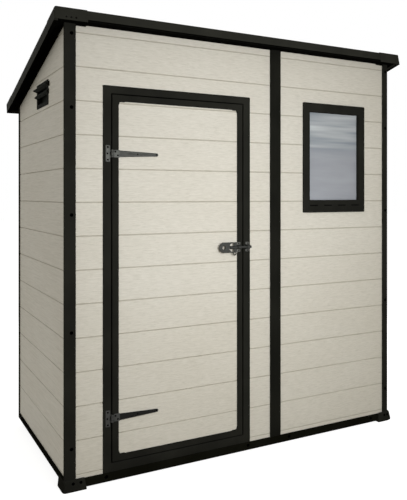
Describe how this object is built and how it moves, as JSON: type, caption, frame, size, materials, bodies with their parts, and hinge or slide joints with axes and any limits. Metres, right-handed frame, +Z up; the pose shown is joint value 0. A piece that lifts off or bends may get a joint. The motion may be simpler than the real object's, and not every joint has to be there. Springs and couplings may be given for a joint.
{
  "type": "resin pent shed",
  "caption": "Small resin garden shed with a single-slope roof, a hinged door with a slide bolt, a window and side vents.",
  "frame": {"origin": "on the ground, under the middle of the roof's outline", "axes": "+Z up, front with the door faces -Y, +X to the right of someone facing the door"},
  "size_m": [1.837, 1.137, 2.005],
  "materials": {
    "cream_siding": "embossed wood grain",
    "black_trim": "fine satin grain",
    "roof_resin": "fine satin grain",
    "floor_resin": "matte",
    "glazing": "smoked translucent sheet",
    "hinge_steel": "dull plated steel",
    "latch_steel": "dark plated steel"
  },
  "bodies": {
    "shed": {"corner_feet": "black_trim", "front_base_rail": "black_trim", "rear_base_rail": "black_trim", "left_base_rail": "black_trim", "right_base_rail": "black_trim", "floor_panel": "floor_resin", "front_left_post": "black_trim", "front_right_post": "black_trim", "rear_left_post": "black_trim", "rear_right_post": "black_trim", "front_middle_post": "black_trim", "rear_middle_post": "black_trim", "wall_left_of_door": "cream_siding", "wall_over_door": "cream_siding", "wall_right_of_door": "cream_siding", "window_wall": "cream_siding", "left_wall": "cream_siding", "right_wall": "cream_siding", "rear_wall_left": "cream_siding", "rear_wall_right": "cream_siding", "left_vent": "black_trim", "right_vent": "black_trim", "roof_sheet_left": "roof_resin", "roof_sheet_right": "roof_resin", "roof_joint_strip": "roof_resin", "front_roof_trim": "black_trim", "rear_roof_trim": "black_trim", "left_roof_trim": "black_trim", "right_roof_trim": "black_trim", "roof_corner_caps": "black_trim", "hinge_jamb": "black_trim", "latch_jamb": "black_trim", "door_head": "black_trim", "door_threshold": "black_trim", "window_frame": "black_trim", "window_pane": "glazing", "upper_jamb_plate": "hinge_steel", "lower_jamb_plate": "hinge_steel", "latch_keep": "latch_steel"},
    "door": {"door_panel": "cream_siding", "door_border": "black_trim", "upper_hinge_strap": "hinge_steel", "lower_hinge_strap": "hinge_steel", "bolt_guide": "latch_steel"},
    "bolt": {"slide_bolt": "latch_steel"}
  },
  "joints": [
    {"name": "door_hinge", "type": "hinge", "parent": "shed", "child": "door", "pos_m": [-0.6675, -0.5235, 0.8445], "axis": [0, 0, -1], "range_deg": [0, 170]},
    {"name": "bolt_slide", "type": "slide", "parent": "door", "child": "bolt", "axis": [-1, 0, 0], "range_m": [0, 0.05]}
  ]
}
